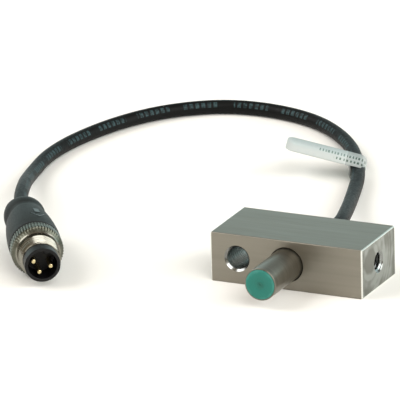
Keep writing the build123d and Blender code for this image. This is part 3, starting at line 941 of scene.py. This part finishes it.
def makeNut(values):
    front, end, bore = values["front"], values["sleeveEnd"], values["bore"]
    sleeve = spinThread(values["root"], values["crest"], values["pitch"], front, end, 96, 1.2)
    inner = [growRim(sleeve, rimAt(sleeve, depth), toRadius(bore + 0.02)) for depth in (front, end)]
    bmesh.ops.bridge_loops(sleeve, edges=inner[0] + inner[1])
    bmesh.ops.recalc_face_normals(sleeve, faces=sleeve.faces)
    start, rear, crown = values["knurlStart"], values["rear"], values["crown"]
    profile = [(values["shoulder"], bore), *values["cone"], (start, crown), (rear - 0.2, crown),
               (rear, crown - 0.26), (rear, bore)]
    ring = spinProfile(profile, values["teeth"] * 6, True)
    for vert in ring.verts:
        radius = math.hypot(vert.co.x, vert.co.y)
        if radius > (crown - 0.01) * mm:
            tooth = abs(math.sin(math.atan2(vert.co.y, vert.co.x) * values["teeth"] / 2))
            wanted = (values["valley"] + (crown - values["valley"]) * tooth**0.7) * mm
            vert.co.x *= wanted / radius
            vert.co.y *= wanted / radius
    for face in ring.faces:
        middle = face.calc_center_median()
        face.material_index = 1 if math.hypot(middle.x, middle.y) > values["dullAndShadedFrom"] * mm else 0
    joinInto(sleeve, ring)
    finishes = [nickelBrass("turnedNickel", values["colours"], 0.2),
                # the knurl's finish: rougher, with a darker colour that is painted shade
                nickelBrass("knurledNickelShaded", values["knurlShadeColours"], 0.3)]
    return makePiece("couplingRing", sleeve, onPlug, finishes, "nut", ["coupling_nut"], 40)


def gripOutline(values):
    front, collar, collarEnd, waist, waistRadius = (
        values[key] for key in ("front", "collar", "collarEnd", "waist", "waistRadius"))
    half, (rise, fall) = values["waistHalf"], values["waistRises"]
    before, after = (waist - half, waistRadius + rise), (waist + half, waistRadius + fall)
    points = [(front, collar - 0.3), (front + 0.3, collar), (collarEnd, collar)]
    points += arcThrough((collarEnd, collar), values["taper"], before, 14)
    points += arcThrough(before, (waist, waistRadius), after, 8)
    points += arcThrough(after, values["bulb"], values["rear"], 12)
    points += arcThrough(values["rear"], *values["bootRoot"], 6)
    points += [values["bootSide"], values["boot"]]
    return points


def gripMark(values, outline):
    # a raised arrow and bar, wrapped on the grip: X runs round it and Y along it, both in mm
    bm = bmesh.new()
    height = values["markHeight"]  # it stands this far out of the grip and as far into it
    for shape in values["mark"]:
        face = bm.faces.new([bm.verts.new((x, y, 0)) for x, y in shape])
        made = bmesh.ops.extrude_face_region(bm, geom=[face])["geom"]
        top = [item for item in made if isinstance(item, bmesh.types.BMVert)]
        bmesh.ops.translate(bm, vec=(0, 0, 2 * height), verts=top)
    bmesh.ops.recalc_face_normals(bm, faces=bm.faces)
    for vert in bm.verts:
        near = [point for point in outline if point[0] <= vert.co.y][-1]
        far = [point for point in outline if point[0] > vert.co.y][0]
        share = (vert.co.y - near[0]) / (far[0] - near[0])
        surface = near[1] + (far[1] - near[1]) * share
        radius = (surface - height + vert.co.z) * mm
        angle = math.radians(values["markTurn"]) + vert.co.x / surface
        vert.co = Vector((radius * math.cos(angle), radius * math.sin(angle), -vert.co.y * mm))
    return bm


def makeGrip(values):
    outer = gripOutline(values)
    inner = [(values["boot"][0], values["bore"]), (values["cavityEnd"], values["bore"]),
             (values["cavityEnd"], values["cavity"]), (values["pocketEnd"], values["cavity"]),
             (values["pocketEnd"], values["pocket"]), (values["front"], values["pocket"])]
    bm = spinProfile(outer + inner, 96, True)
    clear, sideFrom, leanFrom, leanTo = (
        values[key] for key in ("scoopClear", "sideFrom", "leanFrom", "leanTo"))
    for vert in bm.verts:  # the thumb's scoop at one side, and the rear that leans back behind it
        radius = math.hypot(vert.co.x, vert.co.y)
        depth = -vert.co.z / mm
        side = max(0, -vert.co.x / radius - sideFrom) / (1 - sideFrom)
        if radius > clear * mm:
            off = (depth - values["scoopDepth"]) / values["scoopLength"]
            wanted = radius - values["scoop"] * mm * math.exp(-off * off) * side
            vert.co.x *= wanted / radius
            vert.co.y *= wanted / radius
        if radius > values["leanClear"] * mm and leanFrom < depth < leanTo:
            vert.co.z -= values["lean"] * mm * side * (depth - leanFrom) / (leanTo - leanFrom)
    mark = gripMark(values, outer)
    for face in mark.faces:
        face.material_index = 1
    joinInto(bm, mark)
    finishes = [overmouldedPolyurethane(values), polishedShadedMark(values)]
    return makePiece("plugGrip", bm, onPlug, finishes, "sensor", ["connector_grip"], 32)


insert = makeInsert(insertValues)
pins = makePins(pinValues)
nut = makeNut(nutValues)
grip = makeGrip(gripValues)
print("plug made")

# Pieces that keep their CAD shape: name, colours, roughness, metallic, grain in mm, relief in mm

plainFinishes = {
    "turnedBrass": (["clamp_pad"], "#b5945a", "#c9aa6c", 0.3, 1, 0.15, 0.002),
    "sinteredFerrite": (["ferrite_core"], "#262628", "#36363a", 0.65, 0, 0.12, 0.006),
    "mouldedNylon": (["coil_bobbin"], "#d9d2bd", "#e4decb", 0.5, 0, 0.3, 0.004),
    "enamelledCopper": (["copper_coil"], "#a8562a", "#c06a34", 0.3, 1, 0.1, 0.01),
    "glassEpoxy": (["circuit_board"], "#1c5a30", "#23693a", 0.4, 0, 0.4, 0.004),
    "mouldedEpoxy": (["oscillator_chip", "output_transistor"], "#1b1b1d", "#252527", 0.55, 0, 0.1, 0.004),
    "firedCeramic": (["board_components"], "#8a7257", "#a0886a", 0.5, 0, 0.12, 0.004),
    "castEpoxy": (["status_led"], "#e3c95a", "#efd978", 0.2, 0, 0.3, 0.002),
    "castResin": (["potting_resin"], "#2b2620", "#37312a", 0.35, 0, 0.8, 0.01),
    "mouldedPolyamideBlack": (["end_plug"], "#1d1e20", "#27282b", 0.5, 0, 0.25, 0.006),
    "mouldedRubber": (["cable_grommet"], "#151516", "#1e1e20", 0.7, 0, 0.25, 0.008),
    "extrudedBrown": (["brown_wire", "plug_brown_wire"], "#5a331b", "#6b4026", 0.4, 0, 0.4, 0.003),
    "extrudedBlue": (["blue_wire", "plug_blue_wire"], "#274a86", "#305796", 0.4, 0, 0.4, 0.003),
    "extrudedBlack": (["black_wire", "plug_black_wire"], "#19191b", "#232326", 0.4, 0, 0.4, 0.003),
    "mouldedPolypropylene": (["inner_mould"], "#cfcdc2", "#dad8ce", 0.5, 0, 0.35, 0.006),
}

for name, (kept, dark, light, roughness, metallic, grain, relief) in plainFinishes.items():
    material = newMaterial(name, dark, roughness, {"Metallic": metallic})
    addGrain(material, grain, relief, (dark, light), (roughness - 0.06, roughness + 0.08))
    for node in kept:
        nodes[node].data.materials.clear()
        nodes[node].data.materials.append(material)
print("kept pieces finished")

onCable = [grip, nut, insert, *pins, label, nodes["inner_mould"]]
onCable += [nodes[name] for name in ("plug_brown_wire", "plug_blue_wire", "plug_black_wire")]
